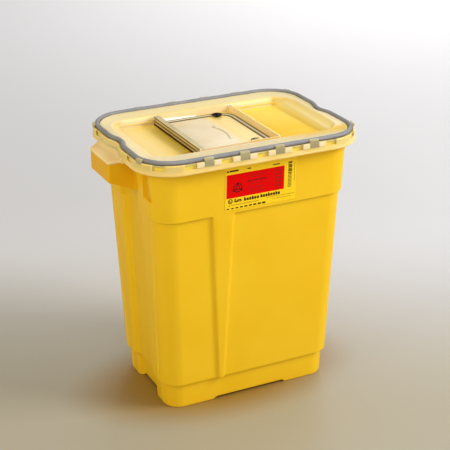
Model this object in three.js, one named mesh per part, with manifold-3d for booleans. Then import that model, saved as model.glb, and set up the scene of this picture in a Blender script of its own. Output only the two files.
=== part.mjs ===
// Nine gallon sharps container: a drafted plastic bin with a hooded handle at each end,
// a translucent press-on lid with a gasket round its rim, and a clear sliding door that
// covers the deposit opening and is locked shut by two push-in studs.
//
// Millimetres. X runs along the long side, the front faces -Y, +Z is up, and the origin
// is the centre of the base on the floor. A plan outline is a rounded rectangle given by
// its half sizes; its two short sides may dip inwards over their middle.

import * as THREE from "three";
import { mergeVertices } from "three/addons/utils/BufferGeometryUtils.js";
import Module from "manifold-3d";

const wasm = await Module();
wasm.setup();

// General
const WALL = 3;
const GAP = 0.3;
const STEP_RISE = 0.4;
const ARC_STEPS = 7;
const DIP_STATIONS = [-1, -0.72, -0.5, -0.28, 0];

// Bin: half sizes of the drafted walls, from the feet to the rim
const FOOT_GAP = 4.2;
const FOOT_SPACE = { x: 68, y: 35 };
const FLOOR_TOP = 8;
const FOOT_TOP = 46;
const BAND_BOTTOM = 357.2;
const BAND_PROUD = 4.4;
const FLANGE_UNDER = 457.8;
const FLANGE_TOP = 460.8;
const LIP_BOTTOM = 449;
const FOOT_LOW = { x: 152.6, y: 98.2, r: 28 };
const FOOT_HIGH = { x: 155.2, y: 100.2, r: 31 };
const WALL_LOW = { x: 161.1, y: 105.5, r: 34 };
const WALL_HIGH = { x: 171.3, y: 123.5, r: 34 };
const BAND_LOW = { x: WALL_HIGH.x + BAND_PROUD, y: WALL_HIGH.y + BAND_PROUD, r: 36 };
const BAND_HIGH = { x: 178.9, y: 133.4, r: 36 };
const LIP = { x: 195.5, y: 144, r: 62 };
const END_RECESS = 9;
const RECESS_FLAT = 30;
const RECESS_EDGE = 43;
const MOUTH_DIP = 2;

// Front and back nesting ribs, which taper downwards from the band
const RIB = { topLeft: -81, topRight: -37.5, lowLeft: -64, lowRight: -50, slope: 7, bury: 1.5 };

// Vertical grooves in two opposite corners of the band
const GROOVE = { inner: 71, topOuter: 86, lowOuter: 99, z0: 389, z1: 447, depth: 5, wall: 3 };

// Hooded handles
const HANDLE = { reach: 224.6, half: 41.5, top: 443, lip: 413, root: 393, inner: 150 };

// Lid, its rim and its recessed deck
const SKIRT = { x: 200.5, y: 149, r: 67 };
const SKIRT_BOTTOM = 446;
const SKIRT_WALL = 2.5;
const RIM_TOP = 466;
const RIM_LIP = 463.6;
const GROOVE_FLOOR = 1;
const RIM_DIP = 7;
const RIM_EDGE = 34;
const DECK_TOP = 449;
const DECK_WALL = 2.5;
const DECK = { x: 150, y: 101.8, r: 6 };
const SHELF = { x: 158, y: 101.8, r: 18, z: 458 };
const SHELF_EDGE = { x: 165, y: 101.8, r: 26, z: 459.5 };
const LEDGE_EDGE = { x: 174, y: 103.6, r: 40, z: 465.5 };
const RAIL = { x: 149, proud: 2.6, z0: 453.6, z1: 455.6 };
const TAB = { reach: 225.5, half: 41.5, skew: 67, bottom: HANDLE.top + 0.4, thick: 3.8 };
const WINDOW = { pitch: 63, half: 9.8, z0: 454, z1: 465 };
const CLIP = { half: 8, y0: 144.7, z0: 463, z1: 469 };

// Rim gasket
const GASKET = { x: 192, y: 140.5, r: 59, section: 3.8, z: 466.2, sides: 12 };

// Deposit opening, door, door gasket and lock studs
const OPENING = { cx: -7, x: 55, y: 65, r: 14 };
const DOOR = { x0: -87, x1: 60, y: 98, bottom: 449.4, floor: 452, top: 465.6 };
const DOOR_WALL = 2.2;
const DOOR_FOOT = { y: 101.2, top: 453.2, inset: 8 };
const DOOR_TRAVEL = 61;
const GRIP_WIDTH = 9;
const BEAD = { cx: -7, x: 61, y: 88, r: 15, half: 2.75, z0: 449.4, z1: 451.6 };
const STUD = { x: 25, y: 76, cap: 9, stem: 3, bore: 3.5, tip: 449.6, under: 456.5, top: 458.7 };

// Label on the front of the band
const LABEL = { x0: -59, x1: 70, z0: 364.5, z1: 444, thick: 0.3 };
const HAZARD = { x0: -57, x1: 48, z0: 385.8, z1: 427.4 };

// Plan outlines -------------------------------------------------------------------

// 1 over the middle of a short side, falling smoothly to 0 at the edge of its dip
function dipShape(y, flat, edge) {
  const t = (Math.abs(y) - flat) / (edge - flat);
  const inside = Math.min(Math.max(t, 0), 1);
  return 0.5 * (1 + Math.cos(Math.PI * inside));
}

// Anticlockwise outline, starting low on the +X side; every outline has as many points
function outline({ x, y, r, cx = 0, dip = 0, flat = RECESS_FLAT, edge = RECESS_EDGE }) {
  const points = [];
  const stations = [...DIP_STATIONS, ...DIP_STATIONS.slice(0, -1).reverse().map((s) => -s)];
  const spread = Math.min(edge + 2, y - r - 1);
  for (let side = 0; side < 2; side++) {
    const sign = side === 0 ? 1 : -1;
    for (const station of stations) {
      const along = station * spread;
      points.push([cx + sign * (x - dip * dipShape(along, flat, edge)), sign * along]);
    }
    for (let corner = 0; corner < 2; corner++) {
      const centreX = sign * (corner === 0 ? x - r : r - x);
      const centreY = sign * (y - r);
      for (let i = 0; i <= ARC_STEPS; i++) {
        const angle = (side * 2 + corner + i / ARC_STEPS) * Math.PI / 2;
        points.push([cx + centreX + r * Math.cos(angle), centreY + r * Math.sin(angle)]);
      }
    }
  }
  return points;
}

function grown(shape, by, more = {}) {
  return { ...shape, x: shape.x + by, y: shape.y + by, r: Math.max(shape.r + by, 1), ...more };
}

function blended(low, high, t) {
  const mix = (key) => low[key] + (high[key] - low[key]) * t;
  return { x: mix("x"), y: mix("y"), r: mix("r") };
}

// Solids --------------------------------------------------------------------------

// Skins a stack of [outline, height] rings. A capped stack is closed by a fan at each
// end; an open one joins its last ring to its first, as a ring-shaped body does.
function loft(rings, capped) {
  const count = rings[0][0].length;
  const positions = [];
  const indices = [];
  for (const [points, z] of rings) {
    for (const [x, y] of points) positions.push(x, y, z);
  }
  const bands = capped ? rings.length - 1 : rings.length;
  for (let i = 0; i < bands; i++) {
    const low = i * count;
    const high = ((i + 1) % rings.length) * count;
    for (let j = 0; j < count; j++) {
      const next = (j + 1) % count;
      indices.push(low + j, low + next, high + next);
      indices.push(low + j, high + next, high + j);
    }
  }
  if (capped) {
    const end = rings.length - 1;
    for (const [ring, flip] of [[0, true], [end, false]]) {
      const points = rings[ring][0];
      const middle = positions.length / 3;
      const mean = (axis) => points.reduce((sum, point) => sum + point[axis], 0) / count;
      positions.push(mean(0), mean(1), rings[ring][1]);
      for (let j = 0; j < count; j++) {
        const a = ring * count + j;
        const b = ring * count + (j + 1) % count;
        indices.push(middle, flip ? b : a, flip ? a : b);
      }
    }
  }
  const geometry = new THREE.BufferGeometry();
  geometry.setAttribute("position", new THREE.Float32BufferAttribute(positions, 3));
  geometry.setIndex(indices);
  return geometry;
}

function manifold(geometry) {
  const bare = geometry.clone();
  bare.deleteAttribute("normal");
  bare.deleteAttribute("uv");
  const merged = mergeVertices(bare, 1e-4);
  return new wasm.Manifold(new wasm.Mesh({
    numProp: 3,
    vertProperties: new Float32Array(merged.attributes.position.array),
    triVerts: new Uint32Array(merged.index.array),
  }));
}

function geometryOf(body) {
  const mesh = body.getMesh();
  const geometry = new THREE.BufferGeometry();
  geometry.setAttribute("position", new THREE.BufferAttribute(mesh.vertProperties, 3));
  geometry.setIndex(new THREE.BufferAttribute(mesh.triVerts, 1));
  geometry.computeVertexNormals();
  return geometry;
}

function stack(rings, capped = true) {
  return manifold(loft(rings, capped));
}

function block(x0, x1, y0, y1, z0, z1) {
  const geometry = new THREE.BoxGeometry(x1 - x0, y1 - y0, z1 - z0);
  geometry.translate((x0 + x1) / 2, (y0 + y1) / 2, (z0 + z1) / 2);
  return manifold(geometry);
}

// A plan polygon, raised from z0 to z1
function slab(corners, z0, z1) {
  const shape = new THREE.Shape(corners.map(([x, y]) => new THREE.Vector2(x, y)));
  const geometry = new THREE.ExtrudeGeometry(shape, { depth: z1 - z0, bevelEnabled: false });
  geometry.translate(0, 0, z0);
  return manifold(geometry);
}

function drum(x, y, radius, z0, z1, sides = 20) {
  const geometry = new THREE.CylinderGeometry(radius, radius, z1 - z0, sides);
  geometry.rotateX(Math.PI / 2);
  geometry.translate(x, y, (z0 + z1) / 2);
  return manifold(geometry);
}

function halfTurned(body) {
  return body.rotate([0, 0, 180]);
}

// Bin -----------------------------------------------------------------------------

function binOutside() {
  const recess = { dip: END_RECESS };
  const bandRecess = { dip: END_RECESS + BAND_PROUD };
  const rimRecess = { dip: RIM_DIP, flat: 0, edge: RIM_EDGE };
  const ring = (shape, more, z) => [outline({ ...shape, ...more }), z];
  return stack([
    ring(FOOT_LOW, recess, 0),
    ring(FOOT_HIGH, recess, FOOT_TOP),
    ring(WALL_LOW, recess, FOOT_TOP + STEP_RISE),
    ring(WALL_HIGH, recess, BAND_BOTTOM),
    ring(BAND_LOW, bandRecess, BAND_BOTTOM + STEP_RISE),
    ring(blended(BAND_LOW, BAND_HIGH, 0.86), bandRecess, HANDLE.top),
    ring(BAND_HIGH, { dip: MOUTH_DIP }, FLANGE_UNDER),
    ring(grown(LIP, -WALL), rimRecess, FLANGE_UNDER),
    ring(grown(LIP, -WALL), rimRecess, LIP_BOTTOM),
    ring(LIP, rimRecess, LIP_BOTTOM),
    ring(LIP, rimRecess, FLANGE_TOP),
  ]);
}

function binInside() {
  const ring = (shape, dip, z) => [outline(grown(shape, -WALL, { dip })), z];
  const floorShape = blended(FOOT_LOW, FOOT_HIGH, FLOOR_TOP / FOOT_TOP);
  const inside = stack([
    ring(floorShape, END_RECESS, FLOOR_TOP),
    ring(FOOT_HIGH, END_RECESS, FOOT_TOP + WALL),
    ring(WALL_LOW, END_RECESS, FOOT_TOP + WALL + STEP_RISE),
    ring(WALL_HIGH, END_RECESS, BAND_BOTTOM + WALL),
    ring(BAND_LOW, END_RECESS + BAND_PROUD, BAND_BOTTOM + WALL + STEP_RISE),
    ring(blended(BAND_LOW, BAND_HIGH, 0.86), END_RECESS + BAND_PROUD, HANDLE.top),
    ring(BAND_HIGH, MOUTH_DIP, FLANGE_UNDER),
    ring(BAND_HIGH, MOUTH_DIP, FLANGE_TOP + 1),
  ]);
  const boss = grooveBlock(GROOVE.depth + GROOVE.wall, GROOVE.wall);
  return inside.subtract(boss).subtract(halfTurned(boss));
}

// Tapered block over the front left groove, `deep` into the band and `margin` larger
function grooveBlock(deep, margin) {
  const back = deep - BAND_HIGH.x;
  const front = -BAND_HIGH.x - 6;
  const section = (outer) => {
    const y0 = -outer - margin;
    const y1 = margin - GROOVE.inner;
    return [[front, y1], [front, y0], [back, y0], [back, y1]];
  };
  return stack([
    [section(GROOVE.lowOuter), GROOVE.z0 - margin],
    [section(GROOVE.topOuter), GROOVE.z1 + margin],
  ]);
}

// Tapered rib that stands as far proud of the front wall as the band does
function nestingRib() {
  const section = (left, right, wallY) => {
    const out = -wallY - BAND_PROUD;
    const root = -wallY + RIB.bury;
    return [[left, root], [left, out], [right - RIB.slope, out], [right, root]];
  };
  return stack([
    [section(RIB.lowLeft, RIB.lowRight, WALL_LOW.y), FOOT_TOP + STEP_RISE],
    [section(RIB.topLeft, RIB.topRight, WALL_HIGH.y), BAND_BOTTOM + 1],
  ]);
}

// Hood with a top, an outer face and two sides, open below for the fingers
function handle() {
  const { reach, half, top, lip, root, inner } = HANDLE;
  const profile = new THREE.Shape();
  profile.moveTo(-inner, top);
  profile.lineTo(-reach, top);
  profile.lineTo(-reach, lip);
  profile.lineTo(-BAND_LOW.x, root);
  profile.lineTo(-inner, root);
  const hood = new THREE.ExtrudeGeometry(profile, { depth: 2 * half, bevelEnabled: false });
  hood.rotateX(Math.PI / 2);
  hood.translate(0, half, 0);
  const fingers = block(WALL - reach, 1 - inner, WALL - half, half - WALL, root - 20, top - WALL);
  return manifold(hood).subtract(fingers);
}

function makeBin() {
  const { x, y } = FOOT_SPACE;
  const feetGaps = block(-x, x, -SKIRT.y, SKIRT.y, -1, FOOT_GAP)
    .add(block(-SKIRT.x, SKIRT.x, -y, y, -1, FOOT_GAP));
  const groove = grooveBlock(GROOVE.depth, 0);
  let bin = binOutside();
  for (const piece of [handle(), nestingRib()]) bin = bin.add(piece).add(halfTurned(piece));
  bin = bin.subtract(binInside()).subtract(feetGaps);
  return geometryOf(bin.subtract(groove).subtract(halfTurned(groove)));
}

// Lid -----------------------------------------------------------------------------

// One closed section carried round the rim: skirt, gasket groove, ledge, stepped ends,
// deck and opening, and then back along the underside
function lidShell() {
  const groove = GASKET.section + GAP;
  const grooveShape = (by) => grown(GASKET, by);
  const grooveBottom = GASKET.z - GASKET.section - GAP;
  const ledgeUnder = LEDGE_EDGE.z - DECK_WALL;
  const rim = { dip: RIM_DIP, flat: 0, edge: RIM_EDGE };
  const ring = (shape, z, more = {}) => [outline({ ...shape, ...more }), z];
  return stack([
    ring(SKIRT, SKIRT_BOTTOM, rim),
    ring(SKIRT, RIM_LIP - 1.2, rim),
    ring(grown(SKIRT, -1.2), RIM_LIP, rim),
    ring(grooveShape(groove + 0.3), RIM_LIP, rim),
    ring(grooveShape(groove), grooveBottom, rim),
    ring(grooveShape(-groove), grooveBottom, rim),
    ring(grooveShape(-groove - 0.6), RIM_TOP, rim),
    ring(LEDGE_EDGE, LEDGE_EDGE.z),
    ring(SHELF_EDGE, SHELF_EDGE.z),
    ring(SHELF, SHELF.z),
    ring(DECK, DECK_TOP),
    ring(OPENING, DECK_TOP),
    ring(OPENING, DECK_TOP - DECK_WALL),
    ring(grown(DECK, DECK_WALL), DECK_TOP - DECK_WALL),
    ring(grown(SHELF, DECK_WALL - 0.8), SHELF.z - DECK_WALL),
    ring(grown(SHELF_EDGE, DECK_WALL - 0.6), SHELF_EDGE.z - DECK_WALL),
    ring(grown(LEDGE_EDGE, DECK_WALL - 0.6), ledgeUnder),
    ring(grooveShape(-groove - 2), ledgeUnder),
    ring(grooveShape(-groove - 1.2), grooveBottom - GROOVE_FLOOR),
    ring(grown(SKIRT, -SKIRT_WALL), grooveBottom - GROOVE_FLOOR, rim),
    ring(grown(SKIRT, -SKIRT_WALL), SKIRT_BOTTOM, rim),
  ], false);
}

// Plate that caps the left handle; its back edge runs out to the skirt at a slant
function handleTab() {
  const root = SKIRT.x - RIM_DIP - 2 * SKIRT_WALL;
  const corners = [
    [-root, -TAB.half],
    [-root, TAB.skew - 7],
    [2 - SKIRT.x, TAB.skew],
    [-TAB.reach, TAB.half],
    [-TAB.reach, -TAB.half],
  ];
  const inside = { ...grown(SKIRT, -SKIRT_WALL), dip: RIM_DIP, flat: 0, edge: RIM_EDGE };
  const bore = stack([[outline(inside), TAB.bottom - 1], [outline(inside), RIM_TOP]]);
  return slab(corners.reverse(), TAB.bottom, TAB.bottom + TAB.thick).subtract(bore);
}

// Window cuts through the skirt, seen from above as short radial blocks
function skirtWindows() {
  const cut = block(-WINDOW.half, WINDOW.half, -3, 3, WINDOW.z0, WINDOW.z1);
  const places = [];
  for (let i = -2; i <= 2; i++) places.push([i * WINDOW.pitch, -SKIRT.y, 0]);
  const bend = SKIRT.r * Math.SQRT1_2;
  const cornerX = SKIRT.x - SKIRT.r + bend;
  const cornerY = SKIRT.y - SKIRT.r + bend;
  places.push([-cornerX, -cornerY, -45], [cornerX, -cornerY, 45]);
  places.push([-SKIRT.x, -70, -90], [SKIRT.x, -70, 90]);
  const half = places.map(([x, y, turn]) => cut.rotate([0, 0, turn]).translate([x, y, 0]));
  return [...half, ...half.map(halfTurned)];
}

// Clips that hold the gasket, midway between the windows of the long sides
function gasketClips() {
  const clip = block(-CLIP.half, CLIP.half, -SKIRT.y, -CLIP.y0, CLIP.z0, CLIP.z1);
  const clips = [-1.5, -0.5, 0.5, 1.5].map((i) => clip.translate([i * WINDOW.pitch, 0, 0]));
  return [...clips, ...clips.map(halfTurned)];
}

// Rails that overhang the door's feet along both long sides of the deck
function doorRails() {
  const rail = block(-RAIL.x, RAIL.x, -DECK.y - 1, RAIL.proud - DECK.y, RAIL.z0, RAIL.z1);
  return [rail, halfTurned(rail)];
}

function makeLid() {
  let lid = lidShell();
  const tab = handleTab();
  for (const piece of [tab, halfTurned(tab), ...gasketClips(), ...doorRails()]) {
    lid = lid.add(piece);
  }
  for (const cut of skirtWindows()) lid = lid.subtract(cut);
  for (const x of [STUD.x, STUD.x - DOOR_TRAVEL]) {
    for (const y of [-STUD.y, STUD.y]) {
      lid = lid.subtract(drum(x, y, STUD.bore, DECK_TOP - 5, DECK_TOP + 1));
    }
  }
  return geometryOf(lid);
}

function makeLidGasket() {
  const rings = [];
  for (let i = 0; i < GASKET.sides; i++) {
    const angle = 2 * Math.PI * i / GASKET.sides;
    const shape = grown(GASKET, GASKET.section * Math.cos(angle));
    const points = outline({ ...shape, dip: RIM_DIP, flat: 0, edge: RIM_EDGE });
    rings.push([points, GASKET.z + GASKET.section * Math.sin(angle)]);
  }
  return loft(rings, false);
}

// Door ----------------------------------------------------------------------------

// Shallow tray with a box-section grip along its left end and a foot under each rail
function makeDoor() {
  const { x0, x1, y, bottom, floor, top } = DOOR;
  const plateTop = floor + DOOR_WALL;
  const gripEnd = x0 + GRIP_WIDTH;
  const box = block(x0, x1, -y, y, bottom, top);
  const tray = block(gripEnd, x1 - DOOR_WALL, DOOR_WALL - y, y - DOOR_WALL, plateTop, top + 1);
  const inner = { x0: x0 + DOOR_WALL, x1: x1 - DOOR_WALL, y: y - DOOR_WALL };
  const under = block(inner.x0, inner.x1, -inner.y, inner.y, bottom - 1, floor);
  const hollow = [gripEnd - DOOR_WALL, -inner.y, inner.y, bottom - 1, top - DOOR_WALL];
  const grip = block(inner.x0, ...hollow);
  const footX = [x0 + DOOR_FOOT.inset, x1 - DOOR_FOOT.inset];
  const foot = block(...footX, -DOOR_FOOT.y, 1 - y, bottom + GAP, DOOR_FOOT.top);
  let door = box.add(foot).add(foot.mirror([0, 1, 0]));
  door = door.subtract(tray).subtract(under).subtract(grip);
  for (const side of [-STUD.y, STUD.y]) {
    door = door.subtract(drum(STUD.x, side, STUD.bore, floor - 1, plateTop + 1));
  }
  return geometryOf(door);
}

function makeDoorGasket() {
  const ring = (by, z) => [outline({ ...grown(BEAD, by), cx: BEAD.cx }), z];
  const { half, z0, z1 } = BEAD;
  return loft([ring(half, z0), ring(half, z1), ring(-half, z1), ring(-half, z0)], false);
}

// Round button on a stem that passes through the door; pushed in, it enters one of the
// deck's two pairs of holes, which lock the door shut or open
function makeLockStud() {
  const { cap, stem, tip, under, top } = STUD;
  const profile = [
    [0, tip],
    [stem - 0.8, tip],
    [stem, tip + 0.8],
    [stem, under],
    [cap, under],
    [cap, top - 1],
    [cap - 1, top],
    [0, top],
  ];
  const lathe = new THREE.LatheGeometry(profile.map(([r, z]) => new THREE.Vector2(r, z)), 20);
  lathe.rotateX(Math.PI / 2);
  const merged = manifold(lathe);
  return geometryOf(merged);
}

// Labels --------------------------------------------------------------------------

// Sheet on the drafted front of the band, `lift` off its surface
function sheet({ x0, x1, z0, z1 }, lift) {
  const rise = FLANGE_UNDER - BAND_BOTTOM;
  const wallY = (z) => BAND_LOW.y + (BAND_HIGH.y - BAND_LOW.y) * (z - BAND_BOTTOM) / rise;
  const section = (z) => {
    const back = -wallY(z) - lift;
    const front = back - LABEL.thick;
    return [[[x0, back], [x0, front], [x1, front], [x1, back]], z];
  };
  return loft([section(z0), section(z1)], true);
}

// Scene ---------------------------------------------------------------------------

function material(color, roughness, more = {}) {
  return new THREE.MeshStandardMaterial({ color, roughness, metalness: 0, ...more });
}

const yellowPlastic = material(0xf2bd24, 0.45);
const milkyPlastic = material(0xefe0b4, 0.4, { transparent: true, opacity: 0.85 });
const clearPlastic = material(0xe9e6da, 0.1, { transparent: true, opacity: 0.4 });
const greyRubber = material(0x8d8b8c, 0.7);
const labelPaper = material(0xf6cf2c, 0.5);
const hazardRed = material(0xdd1a0c, 0.5);

const group = new THREE.Group();

function place(name, geometry, finish, position = [0, 0, 0]) {
  const mesh = new THREE.Mesh(geometry, finish);
  mesh.name = name;
  mesh.position.set(...position);
  group.add(mesh);
}

place("collector_body", makeBin(), yellowPlastic);
place("lid", makeLid(), milkyPlastic);
place("lid_gasket", makeLidGasket(), greyRubber);
place("slide_door", makeDoor(), clearPlastic);
place("door_gasket", makeDoorGasket(), greyRubber);
place("lock_stud_front", makeLockStud(), clearPlastic, [STUD.x, -STUD.y, 0]);
place("lock_stud_back", makeLockStud(), clearPlastic, [STUD.x, STUD.y, 0]);
place("front_label", sheet(LABEL, GAP), labelPaper);
place("hazard_label", sheet(HAZARD, 2 * GAP + LABEL.thick), hazardRed);

export default group;
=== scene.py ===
# Sharps container in a plain studio: a yellow bin with hooded handles, a milky lid with a
# grey rim gasket, a cloudy sliding door with two lock studs, and printed labels.
# Shapes are worked out in millimetres and made into meshes in metres.
import math

import bmesh
import bpy
from mathutils import Matrix, Vector


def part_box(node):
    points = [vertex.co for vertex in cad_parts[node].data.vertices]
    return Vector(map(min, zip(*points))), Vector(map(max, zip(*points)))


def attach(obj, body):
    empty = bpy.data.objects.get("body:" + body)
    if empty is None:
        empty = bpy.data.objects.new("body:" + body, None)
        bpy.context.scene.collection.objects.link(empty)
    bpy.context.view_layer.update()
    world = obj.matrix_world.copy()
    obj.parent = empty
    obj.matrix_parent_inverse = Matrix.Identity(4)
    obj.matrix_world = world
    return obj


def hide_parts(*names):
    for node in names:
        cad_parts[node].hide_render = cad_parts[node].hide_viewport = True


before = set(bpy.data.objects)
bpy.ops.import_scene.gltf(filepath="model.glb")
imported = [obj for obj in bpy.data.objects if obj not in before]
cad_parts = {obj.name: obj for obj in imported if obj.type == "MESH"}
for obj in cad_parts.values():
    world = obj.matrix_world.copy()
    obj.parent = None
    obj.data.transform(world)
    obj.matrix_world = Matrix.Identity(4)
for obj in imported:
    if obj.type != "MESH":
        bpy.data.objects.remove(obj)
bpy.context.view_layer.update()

MM = 0.001


def node_mm(node):
    """Lowest and highest corner of a CAD node, in millimetres."""
    low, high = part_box(node)
    return [v / MM for v in low], [v / MM for v in high]


BIN_HIGH = node_mm("collector_body")[1]
LID_HIGH = node_mm("lid")[1]
GASKET_HIGH = node_mm("lid_gasket")[1]
DOOR_LOW, DOOR_HIGH = node_mm("slide_door")
SEAL_LOW, SEAL_HIGH = node_mm("door_gasket")

# Bin walls: half sizes at the bottom of each zone and how much they grow per millimetre
WALL = 3.0
FOOT_TOP = 46.0
BAND_BOTTOM = 357.2
BAND_PROUD = 4.4
FOOT = {"x": 152.6, "y": 98.2, "r": 28.0, "dx": 0.0565, "dy": 0.0435, "dr": 0.06}
WALLS = {"x": 161.1, "y": 105.5, "r": 34.0, "dx": 0.0328, "dy": 0.0578}
BAND_FRONT, BAND_DRAFT = 127.9, 0.0547
FLOOR_TOP = 8.0
FLANGE_TOP = BIN_HIGH[2]
MOUTH = {"x": 178.9, "y": 133.4, "r": 36.0}
LIP = {"x": 195.5, "y": BIN_HIGH[1], "r": 62.0}
LIP_BOTTOM = 449.0
MOUTH_BOTTOM, MOUTH_STEP, MOUTH_RECESS = 443.0, 14.0, 2.0
END_RECESS = 9.0
RECESS_FLAT, RECESS_EDGE = 30.0, 44.0
DIP, DIP_EDGE = 7.0, 34.0
FOOT_LIFT, LIFT_TOP = 4.2, 24.0
FOOT_SPACE, FOOT_BLEND = (68.0, 35.0), 6.0

# Lid
SKIRT = {"x": 200.5, "y": LID_HIGH[1], "r": 67.0}
STRAIGHT = SKIRT["x"] - SKIRT["r"]
SKIRT_WALL = 2.5
SKIRT_BOTTOM = 446.0
RIM_TOP = 466.0
RIM_LIP = 463.6
DECK_TOP = 449.0
LID_WALL = 2.5
RIM_CORD = {"x": 192.0, "y": 140.5, "r": 59.0}
CORD = 3.8
CORD_Z = GASKET_HIGH[2] - CORD
WINDOW_PITCH = 63.0
WINDOW_HALF = 9.8
WINDOW_SILL = 454.6
OPENING = {"x": 55.0, "y": 65.0, "r": 14.0}
OPENING_X = -7.0

# Lock studs: where they stand, their holes and how far the door slides
STUD_X, STUD_Y = 25.0, 76.0
STUD_HOLE = 3.5
DOOR_TRAVEL = 61.0


# --- Small maths ---

def clamp(t):
    return min(max(t, 0.0), 1.0)


def smooth(t):
    t = clamp(t)
    return t * t * (3 - 2 * t)


def mix(a, b, t):
    return a + (b - a) * t


def spread(a, b, n, ends=True):
    """n steps from a to b, with or without the last value."""
    count = n + 1 if ends else n
    return [mix(a, b, i / n) for i in range(count)]


def polar(x, y, r, degrees):
    """The point at a distance r from (x, y), in the direction given in degrees."""
    angle = math.radians(degrees)
    return x + r * math.cos(angle), y + r * math.sin(angle)


def circle(x, y, r, sides):
    return [polar(x, y, r, 360 * i / sides) for i in range(sides)]


def fillet(inset, z, turn, radius, steps=4, start=0.0):
    """Round points (inset, z) about a centre, from angle start to start + turn."""
    return [polar(inset, z, radius, start + turn * i / steps) for i in range(steps + 1)]


def rounded_rectangle(x0, x1, y0, y1, r, steps):
    points = []
    for cx, cy, start in ((x1 - r, y1 - r, 0), (x0 + r, y1 - r, 90),
                          (x0 + r, y0 + r, 180), (x1 - r, y0 + r, 270)):
        points += fillet(cx, cy, 90, r, steps, start)
    return points


# --- Plan outlines ---
# A station is (half turn, part, value). Part 0 is the end wall at +X, 1 the corner after
# it, 2 the long side at +Y and 3 its far corner; the other half is the same, half turned.

FIXED_Y = 48.0


def stations(end, arc, side):
    """Stations of a whole outline from the values on its end, corners and long side."""
    one = [(0, v) for v in end] + [(1, v) for v in arc]
    one += [(2, v) for v in side] + [(3, 1 - v) for v in reversed(arc)]
    return [(half, part, value) for half in (0, 1) for part, value in one]


def dip_shape(y, flat, edge):
    """From 1 within flat of the middle to 0 at the edge."""
    return 0.5 * (1 + math.cos(math.pi * clamp((abs(y) - flat) / (edge - flat))))


def plan_point(station, x, y, r, recess=0.0, dip=0.0, cx=0.0, keys=None):
    """Point of an outline with half sizes x and y and corner radius r. recess and dip sink
    its end walls; keys are the X values between which a long side is divided."""
    half, part, value = station
    sign = -1.0 if half else 1.0
    if part == 0:
        py = value * FIXED_Y
        if abs(value) > 1:
            py = math.copysign(mix(FIXED_Y, y - r, abs(value) - 1), value)
        px = x - recess * dip_shape(py, RECESS_FLAT, RECESS_EDGE) - dip * dip_shape(py, 0, DIP_EDGE)
    elif part == 2:
        keys = keys or [x - r, r - x]
        segment = min(int(value), len(keys) - 2)
        px = mix(keys[segment], keys[segment + 1], value - segment)
        py = y
    else:
        middle, start = (x - r, 0) if part == 1 else (r - x, 90)
        px, py = polar(middle, y - r, r, start + 90 * value)
    return cx + sign * px, sign * py


def plan(track, shape, grow=0.0, cx=0.0, recess=0.0, dip=0.0, keys=None, offset=None):
    """Points of an outline; offset(station, x, y) moves a point out along its normal."""
    x, y, r = shape["x"] + grow, shape["y"] + grow, shape["r"] + grow
    points = []
    for station in track:
        args = (recess, dip, cx, keys)
        point = plan_point(station, x, y, r, *args)
        if offset:
            by = offset(station, *point)
            if by:
                point = plan_point(station, x + by, y + by, r + by, *args)
        points.append(point)
    return points


# --- Mesh making ---

def linked(name, data):
    """A new object in the scene."""
    obj = bpy.data.objects.new(name, data)
    bpy.context.scene.collection.objects.link(obj)
    return obj


def new_object(name, verts, faces, flat=False, indices=None):
    mesh = bpy.data.meshes.new(name)
    mesh.from_pydata([(x * MM, y * MM, z * MM) for x, y, z in verts], [], faces)
    mesh.validate()
    for i, polygon in enumerate(mesh.polygons):
        polygon.use_smooth = not flat
        if indices:
            polygon.material_index = indices[i]
    return linked(name, mesh)


def skin(name, rows, closed=False, skip=None, paint=None, bridges=()):
    """Skins rows of points into one surface. A closed one joins its last row to its first,
    and an open one is capped. skip(row, column) leaves a face out, paint(row, column)
    gives its material number, and bridges are further faces."""
    count = len(rows[0])
    faces, indices = [], []
    for i in range(len(rows) if closed else len(rows) - 1):
        low, high = i * count, (i + 1) % len(rows) * count
        for j in range(count):
            if not (skip and skip(i, j)):
                k = (j + 1) % count
                faces.append((low + j, low + k, high + k, high + j))
                indices.append(paint(i, j) if paint else 0)
    sides = len(faces)
    faces += bridges
    if not closed:
        faces.append(tuple(reversed(range(count))))
        faces.append(tuple(range((len(rows) - 1) * count, len(rows) * count)))
    indices += [0] * (len(faces) - sides)
    obj = new_object(name, [point for points in rows for point in points], faces, indices=indices)
    for polygon in obj.data.polygons[sides:]:
        polygon.use_smooth = not bridges
    return obj


def row(points, z):
    if callable(z):
        return [(x, y, z(x, y)) for x, y in points]
    return [(x, y, z) for x, y in points]


def modify(obj, kind, **settings):
    """Adds a modifier with its settings, and applies it."""
    modifier = obj.modifiers.new(kind.lower(), kind)
    for key, value in settings.items():
        setattr(modifier, key, value)
    depsgraph = bpy.context.evaluated_depsgraph_get()
    mesh = bpy.data.meshes.new_from_object(obj.evaluated_get(depsgraph))
    obj.modifiers.clear()
    obj.data = mesh
    return obj


def round_edges(obj, width, segments, angle):
    return modify(obj, "BEVEL", width=width * MM, segments=segments, limit_method="ANGLE",
                  angle_limit=math.radians(angle))


def bevelled(obj, width, segments=2, angle=35):
    """Rounds the sharp edges of a piece and shades it by angle."""
    round_edges(obj, width, segments, angle)
    for polygon in obj.data.polygons:
        polygon.use_smooth = True
    return modify(obj, "WEIGHTED_NORMAL", keep_sharp=True)


def block(name, x0, x1, y0, y1, z0, z1, width, segments=2):
    """A box with rounded edges."""
    verts = [(x, y, z) for z in (z0, z1) for y in (y0, y1) for x in (x0, x1)]
    faces = [(0, 2, 3, 1), (4, 5, 7, 6), (0, 1, 5, 4), (2, 6, 7, 3), (0, 4, 6, 2), (1, 3, 7, 5)]
    return bevelled(new_object(name, verts, faces), width, segments)


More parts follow.
